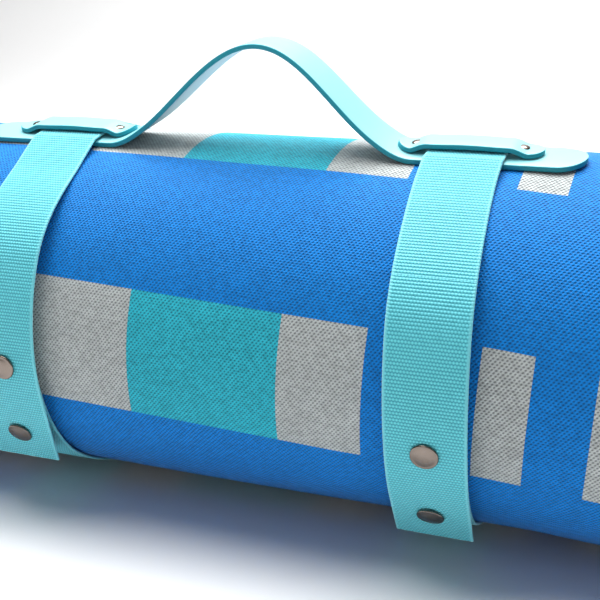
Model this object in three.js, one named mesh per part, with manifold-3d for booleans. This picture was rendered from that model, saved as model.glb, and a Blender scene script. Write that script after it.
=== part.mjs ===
// A camp blanket rolled up in its carrying harness: two webbing straps with snap flaps, and a strip
// handle held down by riveted keepers. Millimetres, +X along the roll, -Y the front, +Z up.
import * as THREE from "three";
import { mergeVertices } from "three/addons/utils/BufferGeometryUtils.js";
import Module from "manifold-3d";

const wasm = await Module();
wasm.setup();

// ---------- driving sizes ----------
const GAP = 0.3; // between pieces that touch

// The blanket, folded in three and rolled
const ROLL_RADIUS = 95;
const ROLL_LENGTH = 500;
const PACKET = 14; // thickness of the folded blanket, one turn of the roll
const CLOTH = 1.0;
const BACKING = 0.8;
const TURNS = 6;
const STEP = 7.5; // degrees between the points of a turn
const FREE_END = 202.5; // degrees from the top towards the front, where the outer turn ends
const RAMP = 75; // the arc over which one turn climbs onto the next
const BINDING_ARC = 7.5;
const BINDING_WALL = 0.8; // degrees

// The webbing straps
const WEB_WIDTH = 38;
const WEB = 1.5;
const STRAP_X = 106.5;
const STRAP_TURN = { left: -5, right: 3.5 }; // degrees, how far each strap's overlap has slipped round
const TAIL_END = 88;
const TAIL_SETTLES = 20; // degrees past the lower snap, where the tail lies down on the roll
const HINGE = 74;
const FLAP_PAST_SNAP = 37; // degrees, from the lower snap to the flap's end
const WEB_STEP = STEP / 3; // the roll's own steps are among the webbing's
const FLAP_RISE = 34; // degrees over which the outer layer leaves the roll
const SNAP_ANGLES = { upper: 101, lower: 125 };

// Snap fasteners, along each one's own axis
const CAP_RADIUS = 6.5;
const CAP_DOME = 2.2;
const SOCKET_RADIUS = 5.2;
const SOCKET_PLATE = 0.6;
const SOCKET_BORE = 3.7;
const STUD_FLANGE = { radius: 5.0, thick: 0.6 };
const STUD_NUB = { radius: 2.6, height: 1.6 };
const SOCKET_CLEAR = 0.4; // between the socket's rim and the stud's flange
const SOCKET_ROOF = 0.7; // above the nub
const EYELET = { radius: 4.5, thick: 0.6 };
const POST_RADIUS = 1.4;
const HOLE_RADIUS = 1.7;

// The handle strip and its keepers
const HANDLE_TURN = 11; // degrees, towards the front
const STRIP_WIDTH = 28;
const STRIP = 2.4;
const ARCH_RISE = 48;
const ARCH_LEAN = 5.5; // degrees, how far the arch's crown leans back from the tabs
const TIP_PAST_KEEPER = 19.5;
const KEEPER_WIDTH = 16;
const KEEPER_LENGTH = 70;
const KEEPER = 2.3;
const KEEPER_RAMP = 2.4;
const KEEPER_SLACK = 0.8; // over the webbing
const RIVET_INSET = 10.2; // from a keeper's end
const CUT_PAST_KEEPER = 5; // from a keeper's inner end to where the swinging arch meets the fixed tab
const RIVET = { radius: 3.4, dome: 1.4 };
const BURR = { radius: 3.2, thick: 0.5 };
const SPACER = 0.01; // past the faces that cutting tools cut, and between faces that meet

// ---------- materials ----------
const finish = (color, roughness, metalness = 0) =>
  new THREE.MeshStandardMaterial({ color, roughness, metalness });
const materials = {
  cloth: finish(0x1f6fd0, 0.9),
  padding: finish(0xe8e6e0, 0.95),
  backing: finish(0x1b4e94, 0.7),
  binding: finish(0x1a5cb8, 0.85),
  webbing: finish(0x68cfd8, 0.85),
  strip: finish(0xa9e6ea, 0.45),
  nickel: finish(0x8f867c, 0.3, 1),
};

// ---------- helpers ----------
const root = new THREE.Group();

function add(name, geometry, material, parent = root) {
  const mesh = new THREE.Mesh(geometry, material);
  mesh.name = name;
  parent.add(mesh);
  return mesh;
}

// A place in the plane across the roll: degrees from the top towards the front, and a radius.
const polar = (degrees, radius) => {
  const a = THREE.MathUtils.degToRad(degrees);
  return new THREE.Vector2(-radius * Math.sin(a), radius * Math.cos(a));
};

// An outline in the Y-Z plane, drawn out along X about the middle.
function alongX(points, width) {
  const turned = THREE.ShapeUtils.isClockWise(points) ? points.slice().reverse() : points;
  const drawn = new THREE.ExtrudeGeometry(new THREE.Shape(turned), { depth: width, bevelEnabled: false });
  const axes = new THREE.Matrix4().makeBasis(
    new THREE.Vector3(0, 1, 0),
    new THREE.Vector3(0, 0, 1),
    new THREE.Vector3(1, 0, 0),
  );
  return drawn.applyMatrix4(axes).translate(-width / 2, 0, 0);
}

// An outline in the X-Z plane, drawn out along Y about the middle.
function alongY(points, width) {
  const turned = THREE.ShapeUtils.isClockWise(points) ? points.slice().reverse() : points;
  const drawn = new THREE.ExtrudeGeometry(new THREE.Shape(turned), { depth: width, bevelEnabled: false });
  return drawn.rotateX(Math.PI / 2).translate(0, width / 2, 0);
}

// The angles from start to end on the shared grid of steps, with both ends and the corners between.
function arc(start, end, step, corners = []) {
  const inner = corners.filter((c) => c > start && c < end);
  for (let k = Math.floor(start / step) + 1; k * step < end - 1e-6; k++) {
    if (k * step > start + 1e-6) inner.push(k * step);
  }
  return [start, ...new Set(inner), end].sort((a, b) => a - b);
}

// A band round the roll between two radius functions of the angle: a box bent through the angles.
function band(angles, inside, outside, width) {
  const pieces = angles.length - 1;
  const bent = new THREE.BoxGeometry(width, 1, 1, 1, 1, pieces);
  const position = bent.attributes.position;
  for (let i = 0; i < position.count; i++) {
    const angle = angles[Math.round((position.getZ(i) + 0.5) * pieces)];
    const place = polar(angle, position.getY(i) > 0 ? outside(angle) : inside(angle));
    position.setXYZ(i, position.getX(i), place.x, place.y);
  }
  bent.computeVertexNormals();
  return bent;
}

function toSolid(geometry) {
  const plain = geometry.clone();
  plain.deleteAttribute("normal");
  plain.deleteAttribute("uv");
  const merged = mergeVertices(plain, 1e-4);
  return new wasm.Manifold(
    new wasm.Mesh({
      numProp: 3,
      vertProperties: merged.attributes.position.array,
      triVerts: new Uint32Array(merged.index.array),
    }),
  );
}

function toGeometry(solid) {
  const mesh = solid.getMesh();
  const geometry = new THREE.BufferGeometry();
  geometry.setAttribute("position", new THREE.BufferAttribute(mesh.vertProperties, 3));
  geometry.setIndex(new THREE.BufferAttribute(mesh.triVerts, 1));
  geometry.computeVertexNormals();
  return geometry;
}

const cut = (geometry, tools) =>
  toGeometry(tools.reduce((solid, tool) => solid.subtract(toSolid(tool)), toSolid(geometry)));

const keep = (geometry, tool) => toGeometry(toSolid(geometry).intersect(toSolid(tool)));

// A turned piece about +Z from its profile of [radius, height] pairs, starting and ending on the axis.
function turned(profile, segments = 24) {
  const points = profile.map(([r, z]) => new THREE.Vector2(r, z));
  return new THREE.LatheGeometry(points, segments).rotateX(Math.PI / 2);
}

const dome = (radius, base, height) => {
  const steps = [0, 30, 60, 90].map((d) => THREE.MathUtils.degToRad(d));
  return steps.map((a) => [radius * Math.cos(a), base + height * (0.35 + 0.65 * Math.sin(a))]);
};

// ---------- the rolled blanket ----------
const smooth = (t) => {
  const c = THREE.MathUtils.clamp(t, 0, 1);
  return c * c * (3 - 2 * c);
};

// The roll's outer radius, by the angle travelled inwards from the free end.
function turnRadius(travelled) {
  const turn = Math.floor(travelled / 360 + 1e-9);
  const within = travelled - 360 * turn;
  return ROLL_RADIUS - PACKET * (turn + smooth((within - (360 - RAMP)) / RAMP));
}

// One layer of the folded blanket, between two depths below the packet's outer face.
function layer(from, upper, lower) {
  const radius = (angle) => turnRadius(FREE_END - angle);
  const angles = arc(FREE_END - 360 * TURNS + RAMP, FREE_END - from, STEP);
  return band(angles, (a) => radius(a) - lower, (a) => radius(a) - upper, ROLL_LENGTH);
}

function addBlanket() {
  const floor = PACKET - GAP;
  const clear = THREE.MathUtils.radToDeg(GAP / ROLL_RADIUS);
  const tuck = BINDING_ARC + clear;
  const cloth = layer(tuck, 0, CLOTH);
  const padding = layer(BINDING_WALL + clear, CLOTH + GAP, floor - BACKING - GAP);
  const backing = layer(tuck, floor - BACKING, floor);
  add("blanket_cloth", cloth, materials.cloth);
  add("blanket_padding", padding, materials.padding);
  add("blanket_backing", backing, materials.backing);
  const place = (s, depth) => polar(FREE_END - s, turnRadius(s) - depth);
  const outline = [
    place(0, 0),
    place(BINDING_ARC, 0),
    place(BINDING_ARC, CLOTH),
    place(BINDING_WALL, CLOTH),
    place(BINDING_WALL, floor - BACKING),
    place(BINDING_ARC, floor - BACKING),
    place(BINDING_ARC, floor),
    place(0, floor),
  ];
  add("blanket_end_binding", alongX(outline, ROLL_LENGTH), materials.binding);
}

// ---------- snap fasteners, about +Z with the tail's outer face at height 0 ----------
const nubTop = GAP + STUD_FLANGE.thick + STUD_NUB.height;
const socketTop = nubTop + SOCKET_ROOF + SOCKET_PLATE;
const FLAP_GAP = socketTop + GAP; // between the tail and the flap
const TAIL_LIFT = GAP + EYELET.thick; // what the eyelets take under the tail

const snapPieces = {
  eyelet: [
    [0, -WEB - GAP - EYELET.thick],
    [EYELET.radius, -WEB - GAP - EYELET.thick],
    [EYELET.radius, -WEB - GAP],
    [POST_RADIUS, -WEB - GAP],
    [POST_RADIUS, 0],
    [0, 0],
  ],
  stud: [
    [0, GAP],
    [STUD_FLANGE.radius, GAP],
    [STUD_FLANGE.radius, GAP + STUD_FLANGE.thick],
    [STUD_NUB.radius - 0.3, GAP + STUD_FLANGE.thick],
    [STUD_NUB.radius, nubTop - 0.7],
    [STUD_NUB.radius - 0.4, nubTop],
    [0, nubTop],
  ],
  socket: [
    [0, nubTop + SOCKET_ROOF],
    [SOCKET_BORE, nubTop + SOCKET_ROOF],
    [SOCKET_BORE, GAP + STUD_FLANGE.thick + SOCKET_CLEAR],
    [SOCKET_RADIUS, GAP + STUD_FLANGE.thick + SOCKET_CLEAR],
    [SOCKET_RADIUS, socketTop],
    [0, socketTop],
  ],
  cap: [
    [0, FLAP_GAP],
    [POST_RADIUS, FLAP_GAP],
    [POST_RADIUS, FLAP_GAP + WEB + GAP],
    [CAP_RADIUS, FLAP_GAP + WEB + GAP],
    ...dome(CAP_RADIUS, FLAP_GAP + WEB + GAP, CAP_DOME),
  ],
};

// ---------- the straps ----------
const stripBase = ROLL_RADIUS + GAP;
const stripTop = stripBase + STRIP; // height of the strip's upper face
const webBase = ROLL_RADIUS + GAP;
const tailFace = webBase + TAIL_LIFT + WEB; // radius of the tail's outer face
const flapLift = TAIL_LIFT + WEB + FLAP_GAP;

// The webbing is pulled tight: flat over the handle strip, then straight down to the roll.
const rad = THREE.MathUtils.degToRad;
const flatHeight = stripTop + GAP;
const stripEdge = THREE.MathUtils.radToDeg(Math.atan2(STRIP_WIDTH / 2 + GAP, flatHeight));
const cornerRadius = flatHeight / Math.cos(rad(stripEdge));
const leaving = stripEdge + THREE.MathUtils.radToDeg(Math.acos(webBase / cornerRadius));

function tightRadius(fromHandle) {
  const d = Math.abs(fromHandle);
  if (d <= stripEdge) return flatHeight / Math.cos(rad(d));
  if (d <= leaving) return webBase / Math.cos(rad(leaving - d));
  return webBase;
}

const skinRadius = (degrees) => turnRadius((((FREE_END - degrees) % 360) + 360) % 360);

// The webbing runs straight from the blanket's free end to where such a line just touches the skin.
const bridge = (() => {
  const start = polar(FREE_END, ROLL_RADIUS);
  const forward = polar(FREE_END + 90, 1);
  const outward = polar(FREE_END, 1);
  const fall = (b) => {
    const run = polar(FREE_END + b, skinRadius(FREE_END + b)).sub(start);
    return -run.dot(outward) / run.dot(forward);
  };
  const landings = Array.from({ length: Math.round(RAMP / STEP) }, (_, k) => (k + 1) * STEP);
  return landings.reduce((best, b) => (fall(b) < fall(best) ? b : best));
})();

// How far the webbing's path lies inside the roll's full radius: over the step at the free end, and
// then along the ramp.
function skinDrop(angle) {
  const past = (((angle - FREE_END) % 360) + 360) % 360;
  if (past === 0 || past >= bridge) return ROLL_RADIUS - skinRadius(angle);
  const far = skinRadius(FREE_END + bridge);
  const chord =
    (ROLL_RADIUS * far * Math.sin(rad(bridge))) /
    (ROLL_RADIUS * Math.sin(rad(past)) + far * Math.sin(rad(bridge - past)));
  return ROLL_RADIUS - chord;
}

// The inner radius of the webbing, from the tail round under, up the back, over and down the front.
function webRadius(angle, turn) {
  const lower = SNAP_ANGLES.lower + turn;
  const tail = TAIL_LIFT * (1 - smooth((angle - lower - TAIL_SETTLES / 2) / TAIL_SETTLES));
  const rise = flapLift * smooth((angle - 360 - HINGE - turn + FLAP_RISE + 4) / FLAP_RISE);
  return tightRadius(angle - 360 - HANDLE_TURN) - skinDrop(angle) + tail + rise;
}

// Turns a piece about +Z onto a ray of the roll at the tail's outer face.
function onRay(geometry, degrees) {
  return geometry.translate(0, 0, tailFace).rotateX(THREE.MathUtils.degToRad(degrees));
}

function addStrap(side) {
  const turn = STRAP_TURN[side];
  const strap = new THREE.Group();
  strap.position.x = side === "left" ? -STRAP_X : STRAP_X;
  root.add(strap);
  const inside = (a) => webRadius(a, turn);
  const outside = (a) => inside(a) + WEB;
  const hinge = 360 + HINGE + turn;
  const slit = THREE.MathUtils.radToDeg(GAP / tailFace);
  const corners = [-leaving, -stripEdge, stripEdge, leaving].map((d) => 360 + HANDLE_TURN + d);
  const loopAngles = arc(TAIL_END + turn, hinge, WEB_STEP, corners);
  const flapAngles = arc(hinge + slit, 360 + SNAP_ANGLES.lower + FLAP_PAST_SNAP + turn, WEB_STEP);
  const loop = band(loopAngles, inside, outside, WEB_WIDTH);
  const flap = band(flapAngles, inside, outside, WEB_WIDTH);
  const loopHoles = [];
  const flapHoles = [];
  for (const [row, at] of Object.entries(SNAP_ANGLES)) {
    const degrees = at + turn;
    const hole = (low, high) =>
      onRay(turned([[0, low], [HOLE_RADIUS, low], [HOLE_RADIUS, high], [0, high]], 16), degrees);
    loopHoles.push(hole(-WEB - GAP, GAP));
    flapHoles.push(hole(FLAP_GAP - GAP, FLAP_GAP + WEB + GAP));
    for (const [piece, profile] of Object.entries(snapPieces)) {
      add(`snap_${piece}_${side}_${row}`, onRay(turned(profile), degrees), materials.nickel, strap);
    }
  }
  add(`strap_${side}_loop`, cut(loop, loopHoles), materials.webbing, strap);
  add(`strap_${side}_flap`, cut(flap, flapHoles), materials.webbing, strap);
}

// ---------- the handle, its keepers and rivets, in a group turned towards the front ----------
const keeperInner = STRAP_X - KEEPER_LENGTH / 2;
const rivetReach = KEEPER_LENGTH / 2 - RIVET_INSET; // from the middle of the strap
const archHalfSpan = STRAP_X - rivetReach;
const archCut = keeperInner - CUT_PAST_KEEPER;
const tipX = STRAP_X + KEEPER_LENGTH / 2 + TIP_PAST_KEEPER;
const archHeight = (x) => {
  const t = Math.min(Math.abs(x) / archHalfSpan, 1);
  return ARCH_RISE * Math.cos((t * Math.PI) / 2) ** 2;
};

// Leans the strip back about the roll's axis, by its share of the arch's height.
function leaned(geometry) {
  const position = geometry.attributes.position;
  const point = new THREE.Vector3();
  const axis = new THREE.Vector3(1, 0, 0);
  for (let i = 0; i < position.count; i++) {
    point.fromBufferAttribute(position, i);
    point.applyAxisAngle(axis, (-rad(ARCH_LEAN) * archHeight(point.x)) / ARCH_RISE);
    position.setXYZ(i, point.x, point.y, point.z);
  }
  geometry.computeVertexNormals();
  return geometry;
}

// The strip's side outline between two places along X, as thick as the strip at right angles to it.
function stripOutline(from, to, pieces) {
  const xs = Array.from({ length: pieces + 1 }, (_, i) => from + ((to - from) * i) / pieces);
  const thick = (x) => {
    const slope = (archHeight(x + 0.1) - archHeight(x - 0.1)) / 0.2;
    return STRIP * Math.hypot(1, slope);
  };
  const below = xs.map((x) => new THREE.Vector2(x, stripBase + archHeight(x)));
  const above = xs.map((x) => new THREE.Vector2(x, stripBase + archHeight(x) + thick(x))).reverse();
  return [...below, ...above];
}

// A plan outline with round ends, drawn up through a span of heights.
function roundEnded(middle, length, width, low, high) {
  const r = width / 2;
  const reach = length / 2 - r;
  const plan = new THREE.Shape();
  plan.moveTo(-reach, -r);
  plan.lineTo(reach, -r);
  plan.absarc(reach, 0, r, -Math.PI / 2, Math.PI / 2, false);
  plan.lineTo(-reach, r);
  plan.absarc(-reach, 0, r, Math.PI / 2, (3 * Math.PI) / 2, false);
  const solid = new THREE.ExtrudeGeometry(plan, { depth: high - low, bevelEnabled: false, curveSegments: 10 });
  return solid.translate(middle, 0, low);
}

// The keeper's side outline: over the webbing, down on each side of it, and along the strip as it rises.
function keeperOutline() {
  const half = KEEPER_LENGTH / 2;
  const high = stripTop + GAP + WEB + GAP + KEEPER_SLACK;
  const bend = WEB_WIDTH / 2 + GAP;
  const foot = bend + KEEPER_RAMP;
  const onStrip = (x) => stripTop + GAP + archHeight(STRAP_X + x);
  const inner = [0, 1, 2, 3, 4, 5].map((k) => -half + ((half - foot) * k) / 5);
  const below = [...inner.map((x) => [x, onStrip(x)]), [-bend, high], [bend, high], [foot, onStrip(foot)], [half, onStrip(half)]];
  const above = below.map(([x, z]) => [x * (z === high ? 1 - KEEPER / half / 3 : 1), z + KEEPER]);
  return [...below, ...above.reverse()].map(([x, z]) => new THREE.Vector2(x, z));
}

function addHandle() {
  const seat = stripTop + archHeight(archHalfSpan - RIVET.radius) + GAP + KEEPER + GAP;
  const handle = new THREE.Group();
  handle.rotation.x = THREE.MathUtils.degToRad(HANDLE_TURN);
  root.add(handle);
  const wide = alongY(stripOutline(-archCut + GAP, archCut - GAP, 36), STRIP_WIDTH);
  add("handle_arch", leaned(wide), materials.strip, handle);
  for (const side of ["left", "right"]) {
    const sign = side === "left" ? -1 : 1;
    const middle = sign * STRAP_X;
    const rivets = { inner: middle - sign * rivetReach, outer: middle + sign * rivetReach };
    // A rivet's hole, opened out below where its burr sits in the strip's underside.
    const hole = (x) => {
      const low = stripBase - SPACER;
      const step = stripBase + BURR.thick + GAP;
      const high = seat + GAP;
      const well = BURR.radius + GAP;
      const profile = [[0, low], [well, low], [well, step], [HOLE_RADIUS, step], [HOLE_RADIUS, high], [0, high]];
      return turned(profile, 16).translate(x, 0, 0);
    };
    const holes = Object.values(rivets).map(hole);
    const ends = [sign * archCut, sign * tipX].sort((a, b) => a - b);
    const long = leaned(alongY(stripOutline(ends[0], ends[1], 30), STRIP_WIDTH));
    const plan = roundEnded(0, 2 * tipX, STRIP_WIDTH, stripBase - GAP, stripTop + ARCH_RISE);
    add(`handle_tab_${side}`, cut(keep(long, plan), holes), materials.strip, handle);
    const bar = alongY(keeperOutline().map((v) => new THREE.Vector2(sign * v.x, v.y)), KEEPER_WIDTH).translate(middle, 0, 0);
    const cover = roundEnded(middle, KEEPER_LENGTH, KEEPER_WIDTH, stripTop, stripTop + 4 * KEEPER);
    add(`keeper_${side}`, cut(keep(bar, cover), holes), materials.strip, handle);
    for (const [end, x] of Object.entries(rivets)) {
      const burrTop = stripBase + BURR.thick;
      const rivet = [
        [0, burrTop + SPACER],
        [POST_RADIUS, burrTop + SPACER],
        [POST_RADIUS, seat],
        [RIVET.radius, seat],
        ...dome(RIVET.radius, seat, RIVET.dome),
      ];
      const burr = [
        [0, stripBase],
        [BURR.radius, stripBase],
        [BURR.radius, burrTop],
        [0, burrTop],
      ];
      add(`rivet_${side}_${end}`, turned(rivet).translate(x, 0, 0), materials.nickel, handle);
      add(`rivet_burr_${side}_${end}`, turned(burr).translate(x, 0, 0), materials.nickel, handle);
    }
  }
}

addBlanket();
addStrap("left");
addStrap("right");
addHandle();

// The origin is under the middle of the whole object, at its lowest point.
root.updateMatrixWorld(true);
const box = new THREE.Box3().setFromObject(root, true);
const centre = box.getCenter(new THREE.Vector3());
root.position.set(-centre.x, -centre.y, -box.min.z);

export default root;
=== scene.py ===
# A padded camp blanket, folded in three and rolled, in its carrying harness of webbing and moulded strip.
# Metres, +X along the roll, -Y the front, +Z up. Angles round the roll run from the top towards the front.
import math

import bmesh
import bpy
import numpy as np
from mathutils import Matrix, Vector


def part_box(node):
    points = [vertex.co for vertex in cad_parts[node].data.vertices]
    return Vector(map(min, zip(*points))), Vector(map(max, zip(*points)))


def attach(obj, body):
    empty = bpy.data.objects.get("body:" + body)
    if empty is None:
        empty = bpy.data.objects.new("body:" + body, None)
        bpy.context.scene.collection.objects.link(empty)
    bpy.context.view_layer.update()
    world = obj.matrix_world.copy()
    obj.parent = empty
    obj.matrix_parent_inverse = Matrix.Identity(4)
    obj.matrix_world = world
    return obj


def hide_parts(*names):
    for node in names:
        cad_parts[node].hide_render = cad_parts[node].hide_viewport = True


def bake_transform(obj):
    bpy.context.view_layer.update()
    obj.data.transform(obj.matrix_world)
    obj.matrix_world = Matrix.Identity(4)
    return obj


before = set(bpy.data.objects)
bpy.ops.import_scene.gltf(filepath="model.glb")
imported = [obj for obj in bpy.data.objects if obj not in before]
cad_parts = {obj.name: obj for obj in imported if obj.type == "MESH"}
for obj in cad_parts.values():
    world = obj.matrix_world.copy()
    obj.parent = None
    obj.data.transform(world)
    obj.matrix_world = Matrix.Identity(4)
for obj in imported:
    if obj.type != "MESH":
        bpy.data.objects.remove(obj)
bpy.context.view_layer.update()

BODY = "rolled_blanket_and_harness"
MM = 0.001

# ---- The roll's axis -------------------------------------------------------------------------
# Every piece is wrapped round the rolled blanket, so places are given by how far along the roll
# they are, how far round from its top, and how far out from its axis.
cloth_low, cloth_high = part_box("blanket_cloth")
ROLL_RADIUS = (cloth_high.z - cloth_low.z) / 2
ROLL_HALF = cloth_high.x
AXIS_Y = cloth_low.y + ROLL_RADIUS
AXIS_Z = cloth_low.z + ROLL_RADIUS


def around(x, degrees, radius):
    """Points of the roll: along it, round it from the top towards the front, and out from its axis."""
    turn = np.radians(degrees)
    x, turn, radius = np.broadcast_arrays(x, turn, radius)
    return np.stack([x, AXIS_Y - radius * np.sin(turn), AXIS_Z + radius * np.cos(turn)], axis=-1)


# ---- Camera ----------------------------------------------------------------------------------
# A short telephoto from the right of the front, a little above the roll.
CAMERA_PLACE = Vector((0.1924, AXIS_Y - 0.4951, AXIS_Z + 0.1678))
CAMERA_AZIMUTH, CAMERA_ELEVATION = math.radians(19.8), math.radians(17.0)
LENS, SENSOR = 60.4, 36
camera = bpy.data.objects.new("camera", bpy.data.cameras.new("camera"))
camera.data.lens = LENS
camera.data.sensor_width = SENSOR
camera.data.clip_start = 0.01
camera.matrix_world = (
    Matrix.Translation(CAMERA_PLACE)
    @ Matrix.Rotation(CAMERA_AZIMUTH, 4, "Z")
    @ Matrix.Rotation(math.pi / 2 - CAMERA_ELEVATION, 4, "X")
)
bpy.context.scene.collection.objects.link(camera)
bpy.context.scene.camera = camera


# ---- Cloth -----------------------------------------------------------------------------------
# The blanket's face is an open knitted mesh of thick soft yarn, blue, with rows of grey, turquoise
# and grey blocks knitted in.
def linear(red, green, blue):
    """A colour given as 0 to 255 display values, as the linear colour that shaders take."""
    share = np.array([red, green, blue]) / 255
    return (*np.where(share <= 0.04045, share / 12.92, ((share + 0.055) / 1.055) ** 2.4), 1.0)


class Nodes:
    """Short ways of adding and joining the nodes of one tree."""

    def __init__(self, tree):
        self.tree = tree

    def put(self, socket, value):
        """Joins a node's output to a socket, or sets the socket to a plain value."""
        if isinstance(value, bpy.types.NodeSocket):
            self.tree.links.new(value, socket)
        else:
            socket.default_value = value

    def add(self, kind, inputs=(), **settings):
        node = self.tree.nodes.new(kind)
        for name, value in settings.items():
            setattr(node, name, value)
        for name, value in dict(inputs).items():
            self.put(node.inputs[name], value)
        return node

    def math(self, operation, *values):
        node = self.tree.nodes.new("ShaderNodeMath")
        node.operation = operation
        for socket, value in zip(node.inputs, values):
            self.put(socket, value)
        return node.outputs[0]

    def step(self, value, start, end):
        """0 before start and 1 after end, smooth between."""
        ranged = self.add("ShaderNodeMapRange", {"Value": value, "From Min": start, "From Max": end})
        ranged.interpolation_type = "SMOOTHSTEP"
        return ranged.outputs["Result"]

    def mix(self, factor, first, second, blend="MIX"):
        node = self.add("ShaderNodeMix", data_type="RGBA", blend_type=blend)
        for socket, value in zip((node.inputs[0], node.inputs[6], node.inputs[7]), (factor, first, second)):
            self.put(socket, value)
        return node.outputs[2]


def shader_group(name, inputs, outputs):
    """An empty shader node group with its sockets, and its way of adding nodes."""
    tree = bpy.data.node_groups.new(name, "ShaderNodeTree")
    for label, kind, value in inputs:
        socket = tree.interface.new_socket(label, in_out="INPUT", socket_type=kind)
        if value is not None:
            socket.default_value = value
    for label, kind in outputs:
        tree.interface.new_socket(label, in_out="OUTPUT", socket_type=kind)
    return tree, Nodes(tree), tree.nodes.new("NodeGroupInput"), tree.nodes.new("NodeGroupOutput")


def material(name):
    """A new material's tree and its Principled shader."""
    made = bpy.data.materials.new(name)
    made.use_nodes = True
    return made, Nodes(made.node_tree), made.node_tree.nodes["Principled BSDF"]


FLOAT, VECTOR = "NodeSocketFloat", "NodeSocketVector"
# An even count of rows added before a remainder is taken, so that it never runs below zero.
ROWS_ABOVE_ZERO = 4000.0
HOLE_SLANT, HOLE_STRETCH = -0.22, 0.66

# The knitted mesh: staggered rows of small dark holes between plump stitches.
knit, n, given, result = shader_group(
    "knitted mesh",
    [("Vector", VECTOR, None), ("Pitch", FLOAT, 0.0020), ("Row", FLOAT, 0.00125)],
    [("Holes", FLOAT), ("Height", FLOAT), ("Stitch", FLOAT)],
)
place = n.add("ShaderNodeSeparateXYZ", {"Vector": given.outputs["Vector"]})
rows = n.math("DIVIDE", place.outputs["Y"], given.outputs["Row"])
odd = n.math("MODULO", n.math("FLOOR", n.math("ADD", rows, ROWS_ABOVE_ZERO)), 2.0)
pitches = n.math("DIVIDE", place.outputs["X"], given.outputs["Pitch"])
across = n.math("ADD", pitches, n.math("MULTIPLY", odd, 0.5))
side = n.math("SUBTRACT", n.math("FRACT", across), 0.5)
up = n.math("SUBTRACT", n.math("FRACT", rows), 0.5)
slanted = n.math("ADD", side, n.math("MULTIPLY", up, HOLE_SLANT))
stretched = n.math("MULTIPLY", up, HOLE_STRETCH)
slanted_square = n.math("MULTIPLY", slanted, slanted)
stretched_square = n.math("MULTIPLY", stretched, stretched)
reach = n.math("SQRT", n.math("ADD", slanted_square, stretched_square))
holes = n.math("SUBTRACT", 1.0, n.step(reach, 0.08, 0.40))
cell = n.add("ShaderNodeCombineXYZ", {"X": n.math("FLOOR", across), "Y": n.math("FLOOR", rows)})
each = n.add("ShaderNodeTexWhiteNoise", {"Vector": cell.outputs["Vector"]}, noise_dimensions="2D")
n.put(result.inputs["Stitch"], each.outputs["Value"])
n.put(result.inputs["Holes"], holes)
n.put(result.inputs["Height"], n.math("SUBTRACT", 1.0, holes))

# Soft large-scale unevenness of dye and handling.
mottle, n, given, result = shader_group(
    "mottle",
    [("Vector", VECTOR, None), ("Scale", FLOAT, 20.0), ("Amount", FLOAT, 0.1)],
    [("Factor", FLOAT)],
)
noise = n.add("ShaderNodeTexNoise", {
    "Vector": given.outputs["Vector"], "Scale": given.outputs["Scale"], "Detail": 4.0,
})
swing = n.math("MULTIPLY", n.math("SUBTRACT", noise.outputs["Fac"], 0.5), given.outputs["Amount"])
n.put(result.inputs["Factor"], n.math("ADD", 1.0, swing))


def place_group(n, tree, inputs):
    """A shader group's node in a material."""
    return n.add("ShaderNodeGroup", inputs, node_tree=tree)


def tinted(n, colour, factor):
    """A colour times a factor that changes over the surface."""
    spread = n.add("ShaderNodeCombineColor", {"Red": factor, "Green": factor, "Blue": factor})
    return n.mix(1.0, colour, spread.outputs["Color"], "MULTIPLY")


BLUE, GREY, TURQUOISE = linear(2, 116, 196), linear(170, 176, 176), linear(42, 168, 188)
# Where each colour of a patterned row begins, along the roll, and the rows' places down the cloth.
BLOCKS = [
    (-0.260, TURQUOISE), (-0.240, GREY), (-0.191, BLUE), (-0.165, GREY), (-0.116, BLUE), (-0.096, GREY),
    (-0.0422, TURQUOISE), (0.0352, GREY), (0.0758, BLUE), (0.1275, GREY), (0.1502, BLUE), (0.1757, GREY),
    (0.2150, TURQUOISE),
]
PATTERN_SPAN = 0.52
ROW_PERIOD, ROW_HEIGHT, ROW_START = 0.1426, 0.0646, 0.0100

cloth, n, shader = material("blue knitted mesh cloth")
flat = n.add("ShaderNodeUVMap", uv_map="flat").outputs["UV"]
place = n.add("ShaderNodeSeparateXYZ", {"Vector": flat})
share = n.math("ADD", n.math("MULTIPLY", place.outputs["X"], 1 / PATTERN_SPAN), 0.5)
columns = n.add("ShaderNodeValToRGB", {"Fac": share})
ramp = columns.color_ramp
ramp.interpolation = "CONSTANT"
while len(ramp.elements) < len(BLOCKS):
    ramp.elements.new(1.0)
for element, (start, colour) in zip(ramp.elements, BLOCKS):
    element.position = start / PATTERN_SPAN + 0.5
    element.color = colour
row = n.math("FRACT", n.math("DIVIDE", n.math("SUBTRACT", place.outputs["Y"], ROW_START), ROW_PERIOD))
in_row = n.math("LESS_THAN", row, ROW_HEIGHT / ROW_PERIOD)
woven = n.mix(in_row, BLUE, columns.outputs["Color"])
mesh_knit = place_group(n, knit, {"Vector": flat})
uneven = place_group(n, mottle, {"Vector": flat, "Scale": 18.0, "Amount": 0.22})
# Painted shade: the colour is darkened in the knit's holes, where shade falls between the stitches.
painted_hole_shade = n.math("SUBTRACT", 1.12, n.math("MULTIPLY", mesh_knit.outputs["Holes"], 0.68))
varied = n.math("ADD", 0.86, n.math("MULTIPLY", mesh_knit.outputs["Stitch"], 0.28))
shaded = n.math("MULTIPLY", n.math("MULTIPLY", painted_hole_shade, varied), uneven.outputs[0])
n.put(shader.inputs["Base Color"], tinted(n, woven, shaded))
bump = n.add("ShaderNodeBump", {"Height": mesh_knit.outputs["Height"], "Strength": 0.7, "Distance": 0.0005})
n.put(shader.inputs["Normal"], bump.outputs["Normal"])
shader.inputs["Roughness"].default_value = 0.6
shader.inputs["Specular IOR Level"].default_value = 0.14
shader.inputs["Sheen Weight"].default_value = 0.10
shader.inputs["Sheen Roughness"].default_value = 0.4

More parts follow.
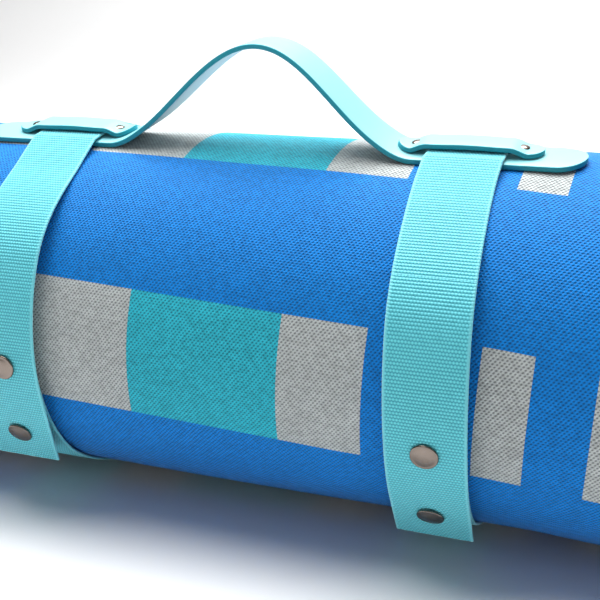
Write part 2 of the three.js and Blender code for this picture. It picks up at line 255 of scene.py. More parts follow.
# The underside is a thin coated cloth with a fine grain.
backing, n, shader = material("coated backing")
here = n.add("ShaderNodeTexCoord").outputs["Object"]
grain = n.add("ShaderNodeTexNoise", {"Vector": here, "Scale": 900.0, "Detail": 2.0})
uneven = place_group(n, mottle, {"Vector": here, "Scale": 30.0, "Amount": 0.3})
n.put(shader.inputs["Base Color"], tinted(n, linear(22, 62, 132), uneven.outputs[0]))
bump = n.add("ShaderNodeBump", {"Height": grain.outputs["Fac"], "Strength": 0.4, "Distance": 0.0003})
n.put(shader.inputs["Normal"], bump.outputs["Normal"])
shader.inputs["Roughness"].default_value = 0.5

# ---- Blanket ---------------------------------------------------------------------------------
# One padded sheet, 1.5 by 2.0 m and 4.4 mm thick: knitted face, wadding and coated backing quilted
# together. It is folded in three lengthwise, then rolled up from one end.
PACKET = 14 * MM
TURNS = 6
RAMP = 75.0
FREE_END = 202.5
LEAF, LEAF_PITCH = 4.4 * MM, 4.6 * MM
FOLD = (LEAF_PITCH + LEAF) / 2
STRAP_X, STRAP_HALF = 106.5 * MM, 19 * MM
BULGE = 0.3 * MM
SAG = 2.2 * MM
SKEW, SKEW_CENTRE = 0.050, 0.185
STEP = 5.0


def smooth(t):
    t = np.clip(t, 0, 1)
    return t * t * (3 - 2 * t)


def turn_radius(travelled):
    """The roll's outer radius, by the angle travelled inwards from the free end."""
    turn = np.floor(travelled / 360 + 1e-9)
    within = travelled - 360 * turn
    return ROLL_RADIUS - PACKET * (turn + smooth((within - (360 - RAMP)) / RAMP))


def swell(x, degrees, travelled):
    """How far the soft outer turn stands out between the straps, with slack and small puckers. Its
    rim is drawn in at the roll's ends."""
    beside = np.minimum(np.abs(x - STRAP_X), np.abs(x + STRAP_X)) - STRAP_HALF
    free = 1 - np.exp(-((np.clip(beside, 0, None) / 0.020) ** 2))
    a = np.radians(degrees)
    slack = 0.25 * np.sin(3 * a + 23 * x) + 0.2 * np.sin(5 * a - 31 * x + 1.3)
    slack = slack + 0.12 * np.sin(11 * a + 47 * x)
    pucker = np.exp(-(((beside - 0.008) / 0.010) ** 2)) * np.sin(38 * a + 2 * np.sin(3 * a)) * 0.14
    rim = -2.6 * np.exp(-(((ROLL_HALF - np.abs(x)) / 0.010) ** 2))
    loose = 1.2 * smooth((np.abs(x) - 0.140) / 0.05)
    outermost = 1 - smooth((travelled - 270) / 60)
    return MM * outermost * (free * (BULGE / MM + 0.6 * slack + loose) + pucker + rim)


def droop(grid, x):
    """Let the roll's loose ends droop, most at the top and not at all where they lie on the floor."""
    share = (grid[..., 2] - AXIS_Z + ROLL_RADIUS) / (2 * ROLL_RADIUS)
    grid[..., 2] -= SAG * smooth((np.abs(x) - 0.125) / 0.06) * np.clip(share, 0, 1)


def fold_profile():
    """The folded sheet's closed outline across its length: places along X, depths below the outer face,
    lengths along the cloth, and whether each stretch is knitted face."""
    straight = ROLL_HALF - FOLD
    depths = [k * LEAF_PITCH for k in range(3)]
    path, face = [], []

    def run(start, end, depth, pieces, knitted):
        for x in np.linspace(start, end, pieces + 1)[:-1]:
            path.append((x, depth))
            face.append(knitted)

    def bend(x, centre, radius, start, end, pieces, knitted):
        for t in np.radians(np.linspace(start, end, pieces + 1)[:-1]):
            path.append((x + radius * math.cos(t), centre - radius * math.sin(t)))
            face.append(knitted)

    near, far = depths[0] + LEAF, depths[1]
    middle_fold = (near + far) / 2
    inner_fold = (depths[1] + LEAF + depths[2]) / 2
    slot = (far - near) / 2
    run(-straight, straight, 0, 96, True)
    bend(straight, middle_fold, FOLD, 90, -90, 12, True)
    run(straight, -straight, depths[1] + LEAF, 6, True)
    bend(-straight, inner_fold, slot, 90, 270, 2, True)
    run(-straight, straight, depths[2], 6, True)
    bend(straight, depths[2] + LEAF / 2, LEAF / 2, 90, -90, 6, False)
    run(straight, -straight, depths[2] + LEAF, 6, False)
    bend(-straight, inner_fold, FOLD, 270, 90, 12, False)
    run(-straight, straight, depths[1], 6, False)
    bend(straight, middle_fold, slot, -90, 90, 2, False)
    run(straight, -straight, near, 6, False)
    bend(-straight, LEAF / 2, LEAF / 2, 270, 90, 6, True)
    path = np.array(path)
    lengths = np.concatenate([[0], np.cumsum(np.linalg.norm(np.diff(path, axis=0), axis=1))])
    return path[:, 0], path[:, 1], lengths - straight, np.array(face)


def grid_mesh(name, points, materials, kinds, uvs, closed_round=True, caps=True):
    """A mesh from a grid of points, stations by outline. kinds gives each outline stretch its material,
    and uvs is a grid one wider than the outline."""
    stations, outline = points.shape[:2]
    index = np.arange(stations * outline).reshape(stations, outline)
    after = np.roll(index, -1, axis=1)
    quads = np.stack([index[:-1], after[:-1], after[1:], index[1:]], axis=-1)
    last = outline if closed_round else outline - 1
    faces = quads[:, :last].reshape(-1, 4).tolist()
    corner = np.stack([uvs[:-1, :-1], uvs[:-1, 1:], uvs[1:, 1:], uvs[1:, :-1]], axis=2)
    corner = corner[:, :last].reshape(-1, 2)
    slots = np.tile(np.asarray(kinds)[:last], stations - 1)
    if caps:
        faces += [index[0, ::-1].tolist(), index[-1].tolist()]
        corner = np.concatenate([corner, uvs[0, -2::-1], uvs[-1, :-1]])
        slots = np.concatenate([slots, [kinds[-1], kinds[-1]]])
    mesh = bpy.data.meshes.new(name)
    mesh.from_pydata(points.reshape(-1, 3).tolist(), [], faces)
    layer = mesh.uv_layers.new(name="flat")
    layer.data.foreach_set("uv", corner.astype(np.float32).ravel())
    mesh.polygons.foreach_set("material_index", slots.astype(np.int32))
    mesh.polygons.foreach_set("use_smooth", [True] * len(faces))
    for each in materials:
        mesh.materials.append(each)
    mesh.update()
    made = bpy.data.objects.new(name, mesh)
    bpy.context.scene.collection.objects.link(made)
    return made


def facing_out(obj):
    """Turns a closed mesh's faces outwards and returns the object."""
    work = bmesh.new()
    work.from_mesh(obj.data)
    bmesh.ops.remove_doubles(work, verts=work.verts, dist=1e-7)
    bmesh.ops.recalc_face_normals(work, faces=work.faces)
    work.to_mesh(obj.data)
    work.free()
    return obj


travelled = np.arange(0.4, 360 * TURNS - RAMP, STEP)
radii = turn_radius(travelled)
arcs = np.radians(np.diff(travelled)) * (radii[1:] + radii[:-1]) / 2
arc_length = np.concatenate([[0], np.cumsum(arcs)])
xs, depths, lengths, knitted = fold_profile()
angles = FREE_END - travelled
wander = 0.9 * MM * (np.sin(travelled / 71) + 0.6 * np.sin(travelled / 23 + 1))
outer_ends = smooth((np.abs(xs) - 0.20) / 0.05) * np.sign(xs)
x_grid = xs[None, :] + wander[:, None] * outer_ends[None, :]
out = swell(x_grid, angles[:, None], travelled[:, None]) * (depths[None, :] < 0.1 * MM)
points = around(x_grid, angles[:, None], radii[:, None] - depths[None, :] + out)
droop(points, x_grid)
# The cloth was rolled a little askew, so its rows and columns turn together.
wide = np.append(lengths, lengths[-1] + LEAF)[None, :]
u_grid = wide - SKEW * (arc_length[:, None] - SKEW_CENTRE)
v_grid = arc_length[:, None] + SKEW * np.append(xs, xs[0])[None, :]
uvs = np.stack(np.broadcast_arrays(u_grid, v_grid), axis=-1)
blanket = facing_out(grid_mesh("blanket", points, [cloth, backing], np.where(knitted, 0, 1), uvs))
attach(blanket, BODY)
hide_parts("blanket_cloth", "blanket_padding", "blanket_backing")

# ---- Binding tape ----------------------------------------------------------------------------
# A ribbed tape folded over the blanket's raw edges and sewn down: over each leaf's end, and along
# the two long edges that spiral at the ends of the roll.
TAPE, TAPE_LEG, TAPE_RIB = 0.5 * MM, 11 * MM, 1.2 * MM
HEM_INSET = 1.2 * MM
binding, n, shader = material("binding tape")
here = n.add("ShaderNodeUVMap", uv_map="flat").outputs["UV"]
place = n.add("ShaderNodeSeparateXYZ", {"Vector": here})
rib = n.math("SINE", n.math("MULTIPLY", place.outputs["Y"], 2 * math.pi / TAPE_RIB))
uneven = place_group(n, mottle, {"Vector": here, "Scale": 60.0, "Amount": 0.3})
n.put(shader.inputs["Base Color"], tinted(n, linear(16, 84, 176), uneven.outputs[0]))
bump = n.add("ShaderNodeBump", {"Height": rib, "Strength": 0.35, "Distance": 0.0003})
n.put(shader.inputs["Normal"], bump.outputs["Normal"])
shader.inputs["Roughness"].default_value = 0.75


def hem_outline(thickness):
    """A tape's U outline round an edge at 0: places past the edge and across the thickness."""
    outer, inner = thickness / 2 + TAPE, thickness / 2 + 0.02 * MM
    bends = np.radians(np.linspace(90, -90, 7))
    outside = [(-TAPE_LEG, outer)] + [(outer * 0.5 * math.cos(t), outer * math.sin(t)) for t in bends]
    outside += [(-TAPE_LEG, -outer)]
    inside = [(-TAPE_LEG, -inner)] + [(inner * 0.5 * math.cos(t), inner * math.sin(t)) for t in bends[::-1]]
    inside += [(-TAPE_LEG, inner)]
    return np.array(outside + inside)


def tape(name, points):
    """A tape from a grid of points, stations by outline."""
    steps = np.linalg.norm(np.diff(points[:, 0], axis=0), axis=1)
    along = np.concatenate([[0], np.cumsum(steps)])
    across = np.linspace(0, 2 * TAPE_LEG, points.shape[1] + 1)
    uvs = np.stack(np.broadcast_arrays(across[None, :], along[:, None]), axis=-1)
    made = facing_out(grid_mesh(name, points, [binding], np.zeros(points.shape[1], int), uvs))
    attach(made, BODY)
    return made


hem = hem_outline(LEAF)
for leaf in range(3):
    middle = turn_radius(0.0) - leaf * LEAF_PITCH - LEAF / 2
    stations = np.linspace(-ROLL_HALF + HEM_INSET, ROLL_HALF - HEM_INSET, 60)
    past = np.degrees(hem[:, 0] / middle)[None, :] + 0.0 * stations[:, None]
    lift = swell(stations, FREE_END, 0.0)[:, None] * (hem[:, 1] > 0)[None, :] if leaf == 0 else 0.0
    squeeze = 0.82 if leaf else 0.95
    radius = middle + squeeze * hem[:, 1][None, :] + lift
    grid = around(stations[:, None], FREE_END - 0.4 + past, radius)
    droop(grid, stations[:, None])
    tape(f"end_binding_{('outer', 'middle', 'inner')[leaf]}", grid)
for side, leaf in ((-1, 0), (1, 2)):
    middle = radii - leaf * LEAF_PITCH - LEAF / 2
    edge = side * (ROLL_HALF - FOLD + LEAF / 2) + wander * side
    radius = middle[:, None] + 0.86 * hem[:, 1]
    grid = around(edge[:, None] + side * hem[:, 0][None, :], angles[:, None], radius)
    droop(grid, edge[:, None])
    tape(f"long_binding_{'left' if side < 0 else 'right'}", grid)
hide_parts("blanket_end_binding")


# ---- Webbing ---------------------------------------------------------------------------------
# Each strap is one length of ribbed polyester webbing, 38 mm wide and 1.5 mm thick, pulled tight
# round the roll and over the handle's tab. Its outer end overlaps its inner end and snaps onto it.
GAP = 0.3 * MM
WEB = 1.5 * MM
STRIP, STRIP_HALF = 2.4 * MM, 14 * MM
HANDLE_TURN = 11.0
STRIP_BASE = ROLL_RADIUS + GAP
STRIP_TOP = STRIP_BASE + STRIP
EYELET, STUD_FLANGE, STUD_NUB = 0.6 * MM, 0.6 * MM, 1.6 * MM
SOCKET_ROOF, SOCKET_PLATE = 0.7 * MM, 0.6 * MM
FLAP_GAP = GAP + STUD_FLANGE + STUD_NUB + SOCKET_ROOF + SOCKET_PLATE + GAP
TAIL_LIFT = GAP + EYELET
FLAP_LIFT = TAIL_LIFT + WEB + FLAP_GAP
# Degrees from the top towards the front, before each strap's own turn.
TAIL_END, TAIL_SETTLES, BRIDGE = 88.0, 20.0, 45.0
FLAP_STARTS, HINGE, FLAP_RISE, FLAP_RISE_PAST = 56.0, 74.0, 34.0, 4.0
FLAP_STRAIGHTENS, FLAP_END = 119.0, 135.5
SNAP_ANGLES = {"upper": 101.0, "lower": 125.0}
STRAP_TURN = {"left": -5.0, "right": 3.5}
RIB_PITCH, YARN_PITCH, RIB = 1.6 * MM, 1.5 * MM, 0.10 * MM
SELVEDGE_STARTS, SELVEDGE_FULL, RIBS_REACH = 17.0 * MM, 18.0 * MM, 17.5 * MM


def tight_radius(from_handle):
    """The webbing's inner radius over the handle's tab: flat on it, then straight down to the roll."""
    d = np.abs(from_handle)
    flat, base = STRIP_TOP + GAP, ROLL_RADIUS + GAP
    edge = math.degrees(math.atan2(STRIP_HALF + GAP, flat))
    leave = edge + math.degrees(math.acos(base / (flat / math.cos(math.radians(edge)))))
    on_tab = flat / np.cos(np.radians(np.minimum(d, edge)))
    down = base / np.cos(np.radians(np.clip(leave - d, 0, leave - edge)))
    return np.where(d <= edge, on_tab, down)


def skin_drop(angle):
    """How far the roll's skin lies inside its full radius, bridged over the step at the free end."""
    past = np.mod(angle - FREE_END, 360)
    far = turn_radius(np.array(360 - BRIDGE))
    span = math.radians(BRIDGE)
    b = np.radians(np.clip(past, 0, BRIDGE))
    chord = ROLL_RADIUS * far * math.sin(span) / (ROLL_RADIUS * np.sin(b) + far * np.sin(span - b))
    follow = turn_radius(np.mod(FREE_END - angle, 360))
    return ROLL_RADIUS - np.where(past < BRIDGE, chord, follow)


def hang_out(degrees):
    """How far the flap's straight end stands off the roll's curve."""
    past = np.radians(np.maximum(degrees - FLAP_STRAIGHTENS, 0))
    return ROLL_RADIUS * (1 / np.cos(past) - 1)


def web_radius(angle, turn):
    """The webbing's inner radius: from its inner end round under, up the back, over, down the front."""
    lower = SNAP_ANGLES["lower"] + turn
    tail = TAIL_LIFT * (1 - smooth((angle - lower - TAIL_SETTLES / 2) / TAIL_SETTLES))
    on_front = angle - 360 - turn
    rise = FLAP_LIFT * smooth((on_front - HINGE + FLAP_RISE + FLAP_RISE_PAST) / FLAP_RISE)
    tight = tight_radius(angle - 360 - HANDLE_TURN) - skin_drop(angle)
    return tight + tail + rise + hang_out(on_front)


webbing, n, shader = material("ribbed webbing")
here = n.add("ShaderNodeUVMap", uv_map="flat").outputs["UV"]
place = n.add("ShaderNodeSeparateXYZ", {"Vector": here})
from_middle = n.math("ABSOLUTE", place.outputs["X"])
selvedge = n.step(from_middle, SELVEDGE_STARTS, SELVEDGE_FULL)
ribs = n.math("ADD", n.math("DIVIDE", place.outputs["Y"], RIB_PITCH), ROWS_ABOVE_ZERO + 0.5)
shift = n.math("MULTIPLY", n.math("MODULO", n.math("FLOOR", ribs), 2.0), math.pi)
yarns = n.math("MULTIPLY", place.outputs["X"], 2 * math.pi / YARN_PITCH)
yarn = n.math("COSINE", n.math("ADD", yarns, shift))
rib = n.math("COSINE", n.math("MULTIPLY", place.outputs["Y"], 2 * math.pi / RIB_PITCH))
plump = n.math("ADD", n.math("MULTIPLY", rib, 0.28), n.math("MULTIPLY", yarn, 0.24))
plump = n.math("ADD", plump, 0.5)
uneven = place_group(n, mottle, {"Vector": here, "Scale": 300.0, "Amount": 0.5})
# Painted highlight: the raised rib and yarn tops are mixed towards a pale teal, standing in for light
# catching them.
painted_yarn_highlight = n.math("MULTIPLY", plump, uneven.outputs[0])
colour_with_painted_highlights = n.mix(painted_yarn_highlight, linear(12, 138, 158), linear(106, 216, 226))
colour = n.mix(selvedge, colour_with_painted_highlights, linear(106, 200, 212))
n.put(shader.inputs["Base Color"], colour)
bump = n.add("ShaderNodeBump", {"Height": plump, "Strength": 0.6, "Distance": 0.0003})
n.put(shader.inputs["Normal"], bump.outputs["Normal"])
shader.inputs["Roughness"].default_value = 0.6
shader.inputs["Sheen Weight"].default_value = 0.6
shader.inputs["Sheen Roughness"].default_value = 0.35

# The webbing's outline: rounded selvedges and flat faces, across and through it.
SECTION = np.array([
    (-18.8, 0.0), (-18.6, 0.45), (-18.0, 0.70), (-17.1, 0.64), (-6.0, 0.70), (6.0, 0.70), (17.1, 0.64),
    (18.0, 0.70), (18.6, 0.45), (18.8, 0.0), (18.6, -0.45), (18.0, -0.70), (17.1, -0.64), (6.0, -0.70),
    (-6.0, -0.70), (-17.1, -0.64), (-18.0, -0.70), (-18.6, -0.45),
]) * MM


def strap_slip(middle, degrees):
    """How far a strap has slipped sideways: at its inner end, down the front, and at the flap's end."""
    slip, tail, end = (1.4 * MM, 0.0, 0.0) if middle > 0 else (0.3 * MM, -4.0 * MM, -5.0 * MM)
    hidden = tail * (1 - smooth((degrees + 225) / 60))
    drift = slip * (2 * smooth((degrees - 30) / 80) - 1) * smooth((degrees - 10) / 20)
    return drift + end * smooth((degrees - 105) / 30) + hidden


def web_band(name, middle, start, end, turn):
    """A stretch of webbing between two angles, ribbed across."""
    fine = np.linspace(start, end, 4000)
    track = around(0.0, fine, web_radius(fine, turn) + WEB / 2)
    length = np.concatenate([[0], np.cumsum(np.linalg.norm(np.diff(track, axis=0), axis=1))])
    origin = np.interp(360.0, fine, length) if start < 360 < end else 0.0
    count = max(8, round(length[-1] / (RIB_PITCH / 4)))
    along = np.linspace(0, length[-1], count + 1)
    angle = np.interp(along, length, fine)
    radius = web_radius(angle, turn) + WEB / 2
    ribbed = RIB * np.cos(2 * math.pi * (along - origin) / RIB_PITCH)
    body = (np.abs(SECTION[:, 0]) < RIBS_REACH) * np.sign(SECTION[:, 1])
    through = SECTION[:, 1][None, :] + ribbed[:, None] * body[None, :]
    across = np.broadcast_to(SECTION[:, 0][None, :], through.shape)
    slip = strap_slip(middle, angle - 360)[:, None]
    points = around(middle + across + slip, angle[:, None], radius[:, None] + through)
    u = np.append(SECTION[:, 0], SECTION[0, 0])
    uvs = np.stack(np.broadcast_arrays(u[None, :], (along - origin)[:, None]), axis=-1)
    return facing_out(grid_mesh(name, points, [webbing], np.zeros(len(SECTION), int), uvs))


for side, sign in (("left", -1), ("right", 1)):
    turn = STRAP_TURN[side]
    middle = sign * STRAP_X
    loop = web_band(f"webbing_{side}_loop", middle, TAIL_END + turn, 360 + FLAP_STARTS + turn, turn)
    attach(loop, BODY)
    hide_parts(f"strap_{side}_loop")
    flap = web_band(f"webbing_{side}_flap", middle, 360 + FLAP_STARTS + turn, 360 + FLAP_END + turn, turn)
    bend = [around(middle, HINGE + turn + d, ROLL_RADIUS + GAP + FLAP_LIFT + WEB) for d in (-7.0, 7.0)]
    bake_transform(flap)
    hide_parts(f"strap_{side}_flap")


# ---- Handle and keepers ----------------------------------------------------------------------
# The handle is one flexible moulded strip with a soft pale face and dark cut edges. Two shorter
# strips of the same stuff, the keepers, hold the webbing down on its tabs.
TIP_X, ARCH_RISE, ARCH_LEAN = 161 * MM, 48 * MM, 5.5
KEEPER_LENGTH, KEEPER_HALF, KEEPER, KEEPER_RAMP = 70 * MM, 8 * MM, 2.3 * MM, 9.0 * MM
KEEPER_SLACK = 0.8 * MM
RIVET_REACH = 24.8 * MM
ARCH_HALF_SPAN = STRAP_X - RIVET_REACH
HUG = STRIP_HALF**2 / 2 / STRIP_BASE


def strip_material(name, colour, roughness):
    """Soft moulded strip: a fine pebbled grain and slight unevenness."""
    made, n, shader = material(name)
    here = n.add("ShaderNodeTexCoord").outputs["Object"]
    pebble = n.add("ShaderNodeTexVoronoi", {"Vector": here, "Scale": 1100.0})
    uneven = place_group(n, mottle, {"Vector": here, "Scale": 40.0, "Amount": 0.14})
    n.put(shader.inputs["Base Color"], tinted(n, colour, uneven.outputs[0]))
    bump = n.add("ShaderNodeBump", {
        "Height": pebble.outputs["Distance"], "Strength": 0.12, "Distance": 0.0002,
    })
    n.put(shader.inputs["Normal"], bump.outputs["Normal"])
    shader.inputs["Roughness"].default_value = roughness
    return made


strip_face = strip_material("strip face", linear(128, 198, 206), 0.45)
strip_edge = strip_material("strip cut edge", linear(0, 138, 154), 0.6)
strip_back = strip_material("strip underside", linear(168, 196, 204), 0.6)


def arch_height(x):
    """The handle's rise above its tabs, by place along the roll."""
    return ARCH_RISE * np.cos(np.minimum(np.abs(x) / ARCH_HALF_SPAN, 1) * math.pi / 2) ** 2


def strip_piece(name, middle, half_length, half_width, thickness, height, stations, hug):
    """A strip with round ends, from its underside's height by place along it and how far its sides hug
    the roll. Its outline runs round the face, an edge, the underside and the other edge."""
    reach = half_length - half_width
    turn = np.linspace(0, 90, 13)[1:]
    ends = reach + half_width * np.sin(np.radians(turn))
    straight = np.linspace(-reach, reach, stations)
    x = np.concatenate([-ends[::-1], straight, ends])
    past = np.clip(np.abs(x) - reach, 0, None) / half_width
    half = half_width * np.sqrt(np.clip(1 - past**2, 1e-6, 1))
    low = height(x)
    slope = np.gradient(low, x)
    normal = np.stack([-slope, np.ones_like(slope)]) / np.hypot(1, slope)
    soft = 0.45 * MM
    face = (-0.66, -0.33, 0.0, 0.33, 0.66)
    outline, kinds = [], []
    for f in face:
        outline.append((f, 0.0, thickness))
        kinds.append(0)
    corner = [(soft, thickness), (soft * 0.3, thickness - soft * 0.25), (0.0, thickness - soft)]
    base = [(0.0, soft), (soft * 0.3, soft * 0.25), (soft, 0.0)]
    for inset_by, up in corner + base:
        outline.append((1.0, inset_by, up))
        kinds.append(1)
    kinds[len(face) - 1] = 0
    for f in reversed(face):
        outline.append((f, 0.0, 0.0))
        kinds.append(2)
    kinds[len(face) + 5] = 2
    for inset_by, up in reversed(corner + base):
        outline.append((-1.0, inset_by, up))
        kinds.append(1)
    kinds[-1] = 0
    kinds[2 * len(face) + 5] = 2
    outline = np.array(outline)
    rounded = np.sign(outline[:, 0]) * np.minimum(outline[:, 1], half[:, None])
    y = outline[:, 0][None, :] * half[:, None] - rounded
    lift = outline[:, 2][None, :]
    bow = hug(x)[:, None] * (y / half_width) ** 2
    px = middle + x[:, None] + normal[0][:, None] * lift
    pz = low[:, None] + normal[1][:, None] * lift - bow
    lean = np.radians(HANDLE_TURN - ARCH_LEAN * arch_height(middle + x) / ARCH_RISE)[:, None]
    points = np.stack([
        np.broadcast_to(px, y.shape),
        AXIS_Y + y * np.cos(lean) - pz * np.sin(lean),
        AXIS_Z + y * np.sin(lean) + pz * np.cos(lean),
    ], axis=-1)
    u = np.linspace(0, 1, len(outline) + 1)
    uvs = np.stack(np.broadcast_arrays(u[None, :], x[:, None]), axis=-1)
    made = grid_mesh(name, points, [strip_face, strip_edge, strip_back], np.array(kinds), uvs)
    return facing_out(made)


handle = strip_piece(
    "handle_strip", 0.0, TIP_X, STRIP_HALF, STRIP,
    height=lambda x: STRIP_BASE + arch_height(x),
    stations=150,
    hug=lambda x: HUG * smooth((np.abs(x) - 0.060) / 0.02),
)
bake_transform(handle)
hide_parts("handle_arch", "handle_tab_left", "handle_tab_right")


def keeper_height(x, sign):
    """The height of a keeper's underside: on the tab at its ends, and over the webbing between."""
    over = smooth((STRAP_HALF + GAP + KEEPER_RAMP - np.abs(x)) / KEEPER_RAMP)
    crown = 0.4 * MM * np.cos(np.minimum(np.abs(x) / STRAP_HALF, 1) * math.pi / 2) ** 2
    seat = STRIP_TOP + GAP + arch_height(STRAP_X + sign * x)
    return seat + (WEB + GAP + KEEPER_SLACK) * over + crown


for side, sign in (("left", -1), ("right", 1)):
    keeper = strip_piece(
        f"keeper_strip_{side}", sign * STRAP_X, KEEPER_LENGTH / 2, KEEPER_HALF, KEEPER,
        height=lambda x: keeper_height(x, sign),
        stations=60,
        hug=lambda x: np.full_like(x, 0.3 * HUG),
    )
    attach(keeper, BODY)
    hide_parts(f"keeper_{side}")

# ---- Rivets and snaps ------------------------------------------------------------------------
# Nickel-plated brass: domed rivet caps on the keepers, and pressed snap caps with a rolled rim.
nickel, n, shader = material("dark nickel")
here = n.add("ShaderNodeTexCoord").outputs["Object"]
scuff = n.add("ShaderNodeTexNoise", {"Vector": here, "Scale": 700.0, "Detail": 3.0})
n.put(shader.inputs["Roughness"], n.math("ADD", n.math("MULTIPLY", scuff.outputs["Fac"], 0.12), 0.12))
uneven = place_group(n, mottle, {"Vector": here, "Scale": 250.0, "Amount": 0.25})
n.put(shader.inputs["Base Color"], tinted(n, linear(118, 108, 101), uneven.outputs[0]))
shader.inputs["Metallic"].default_value = 1.0


def turned_piece(name, profile, segments=40):
    """A closed turned piece about +Z from a profile in millimetres that starts and ends on the axis."""
    ring = np.radians(np.arange(segments) * 360 / segments)
    profile = np.array(profile) * MM
    radius, height = profile[1:-1, 0], profile[1:-1, 1]
    points = [(0, 0, profile[0, 1]), (0, 0, profile[-1, 1])]
    for r, z in zip(radius, height):
        points += [(r * math.cos(a), r * math.sin(a), z) for a in ring]
    at = lambda k, i: 2 + k * segments + i % segments
    faces = [(0, at(0, i + 1), at(0, i)) for i in range(segments)]
    faces += [(1, at(len(radius) - 1, i), at(len(radius) - 1, i + 1)) for i in range(segments)]
    for k in range(len(radius) - 1):
        faces += [(at(k, i), at(k, i + 1), at(k + 1, i + 1), at(k + 1, i)) for i in range(segments)]
    mesh = bpy.data.meshes.new(name)
    mesh.from_pydata(points, [], faces)
    mesh.polygons.foreach_set("use_smooth", [True] * len(faces))
    made = bpy.data.objects.new(name, mesh)
    bpy.context.scene.collection.objects.link(made)
    return facing_out(made)


GEOMETRY, OBJECT, MATERIAL = "NodeSocketGeometry", "NodeSocketObject", "NodeSocketMaterial"
set_pieces = bpy.data.node_groups.new("pieces set on points", "GeometryNodeTree")
for label, kind in (("Points", GEOMETRY), ("Piece", OBJECT), ("Material", MATERIAL), ("Size", FLOAT)):
    set_pieces.interface.new_socket(label, in_out="INPUT", socket_type=kind)
set_pieces.interface.new_socket("Pieces", in_out="OUTPUT", socket_type=GEOMETRY)
n = Nodes(set_pieces)
given = n.add("NodeGroupInput")
piece = n.add("GeometryNodeObjectInfo", {"Object": given.outputs["Piece"]})
aim = n.add("GeometryNodeInputNamedAttribute", {"Name": "aim"}, data_type="FLOAT_VECTOR")
turned_to = n.add("FunctionNodeAlignRotationToVector", {"Vector": aim.outputs["Attribute"]}, axis="Z")
placed = n.add("GeometryNodeInstanceOnPoints", {
    "Points": given.outputs["Points"], "Instance": piece.outputs["Geometry"],
    "Rotation": turned_to.outputs["Rotation"], "Scale": given.outputs["Size"],
})
real = n.add("GeometryNodeRealizeInstances", {"Geometry": placed.outputs["Instances"]})
finished = n.add("GeometryNodeSetMaterial", {
    "Geometry": real.outputs["Geometry"], "Material": given.outputs["Material"],
})
n.put(n.add("NodeGroupOutput").inputs["Pieces"], finished.outputs["Geometry"])


def plain_mesh(holder):
    """Replaces an object's modifiers by the mesh that they make."""
    bpy.context.view_layer.update()
    shown = holder.evaluated_get(bpy.context.evaluated_depsgraph_get())
    holder_mesh = bpy.data.meshes.new_from_object(shown)
    holder.modifiers.clear()
    holder.data = holder_mesh
    return holder


def set_on(name, piece, places, aims, finish, size=1.0):
    """Copies of a piece at places, each turned so that its +Z points along its aim, as one mesh."""
    mesh = bpy.data.meshes.new(name)
    mesh.from_pydata([tuple(p) for p in places], [], [])
    mesh.attributes.new("aim", "FLOAT_VECTOR", "POINT").data.foreach_set("vector", np.ravel(aims))
    holder = bpy.data.objects.new(name, mesh)
    bpy.context.scene.collection.objects.link(holder)
    modifier = holder.modifiers.new("set", "NODES")
    modifier.node_group = set_pieces
    values = {"Piece": piece, "Material": finish, "Size": size}
    for socket in set_pieces.interface.items_tree:
        if socket.in_out == "INPUT" and socket.name in values:
            modifier[socket.identifier] = values[socket.name]
    made = plain_mesh(holder)
    return made


def outwards(degrees):
    """The direction away from the roll's axis at an angle round it."""
    a = math.radians(degrees)
    return np.array([0.0, -math.sin(a), math.cos(a)])


rivet = turned_piece("rivet_master", [
    (0, 1.45), (1.2, 1.38), (2.2, 1.12), (2.9, 0.78), (3.3, 0.42), (3.4, 0.18), (3.3, 0.0), (1.35, 0.0),
    (1.35, -6.0), (0, -6.0),
])
seat = STRIP_TOP + GAP + KEEPER + 0.05 * MM
for side, sign in (("left", -1), ("right", 1)):
    xs = [sign * (STRAP_X - RIVET_REACH), sign * (STRAP_X + RIVET_REACH)]
    places = [around(x, HANDLE_TURN, seat) for x in xs]
    rivets = set_on(f"keeper_rivets_{side}", rivet, places, [outwards(HANDLE_TURN)] * 2, nickel)
    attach(rivets, BODY)
    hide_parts(f"rivet_{side}_inner", f"rivet_{side}_outer")

snap_cap = turned_piece("snap_cap_master", [
    (0, 1.95), (1.8, 1.9), (3.4, 1.72), (4.6, 1.42), (5.2, 1.22), (5.5, 1.2), (5.9, 1.3), (6.25, 1.22),
    (6.5, 0.85), (6.5, 0.4), (6.25, 0.08), (5.6, 0.0), (1.4, 0.0), (1.4, -1.7), (0, -1.7),
])
cap_seat = ROLL_RADIUS + GAP + FLAP_LIFT + WEB + 0.1 * MM
for side, sign in (("left", -1), ("right", 1)):
    turn, middle = STRAP_TURN[side], sign * STRAP_X
    angles = [at + turn for at in SNAP_ANGLES.values()]
    places = [around(middle + strap_slip(middle, a), a, cap_seat + hang_out(a - turn)) for a in angles]
    caps = set_on(f"snap_caps_{side}", snap_cap, places, [outwards(a) for a in angles], nickel)
    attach(caps, f"{side}_strap_flap")
    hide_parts(f"snap_cap_{side}_upper", f"snap_cap_{side}_lower")
for master in (rivet, snap_cap):
    bpy.data.objects.remove(master)
for name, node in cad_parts.items():
    if name.startswith(("snap_socket", "snap_stud", "snap_eyelet", "rivet_burr")):
        node.data.materials.clear()
        node.data.materials.append(nickel)

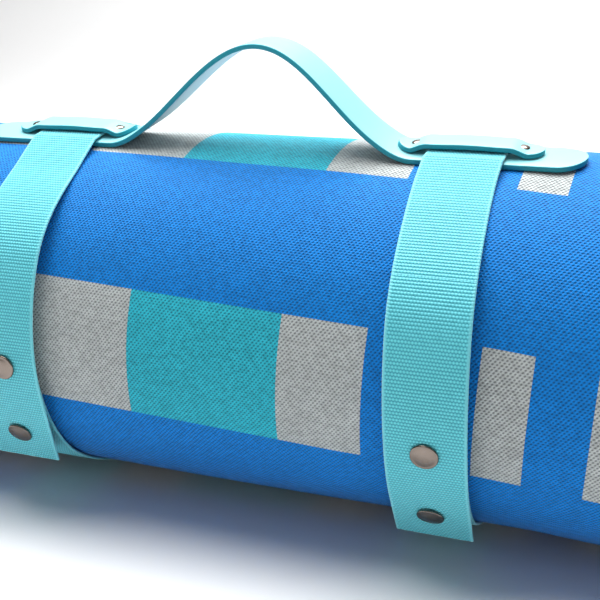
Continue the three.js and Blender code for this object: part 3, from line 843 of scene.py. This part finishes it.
# ---- Studio ----------------------------------------------------------------------------------
# A pale sweep that runs up behind the roll, and large soft lights.
paper, n, shader = material("pale paper")
shader.inputs["Base Color"].default_value = linear(240, 240, 240)
shader.inputs["Roughness"].default_value = 0.9
profile = [(-2.5, 0.0), (1.6, 0.0)]
profile += [(1.6 + 0.9 * math.sin(t), 0.9 - 0.9 * math.cos(t)) for t in np.radians(np.linspace(6, 90, 15))]
profile += [(2.5, 3.5)]
sweep_mesh = bpy.data.meshes.new("sweep")
sweep_points = [(x, y, z) for y, z in profile for x in (-4.0, 4.0)]
sweep_faces = [(2 * k, 2 * k + 1, 2 * k + 3, 2 * k + 2) for k in range(len(profile) - 1)]
sweep_mesh.from_pydata(sweep_points, [], sweep_faces)
sweep_mesh.polygons.foreach_set("use_smooth", [True] * len(sweep_faces))
sweep_mesh.materials.append(paper)
sweep = bpy.data.objects.new("sweep", sweep_mesh)
bpy.context.scene.collection.objects.link(sweep)


def softbox(name, place, target, size, power):
    """A large soft light at a place, turned to a target."""
    lamp = bpy.data.lights.new(name, "AREA")
    lamp.shape = "RECTANGLE"
    lamp.size, lamp.size_y = size
    lamp.energy = power
    holder = bpy.data.objects.new(name, lamp)
    holder.location = place
    holder.rotation_euler = (Vector(target) - Vector(place)).to_track_quat("-Z", "Y").to_euler()
    bpy.context.scene.collection.objects.link(holder)


softbox("overhead", (-0.2, 0.25, 1.5), (0.0, 0.0, 0.1), (1.6, 1.2), 58.0)
softbox("backdrop_wash", (0.0, 0.9, 2.2), (0.0, 2.4, 0.6), (2.5, 0.8), 48.0)
world = bpy.data.worlds.new("studio")
world.use_nodes = True
n = Nodes(world.node_tree)
direction = n.add("ShaderNodeTexCoord").outputs["Generated"]
height = n.add("ShaderNodeSeparateXYZ", {"Vector": direction}).outputs["Z"]
sky = n.mix(n.step(height, 0.0, 0.45), linear(190, 190, 190), linear(250, 250, 250))
n.put(world.node_tree.nodes["Background"].inputs["Color"], sky)
world.node_tree.nodes["Background"].inputs["Strength"].default_value = 0.3
bpy.context.scene.world = world
bpy.context.scene.view_settings.view_transform = "Standard"
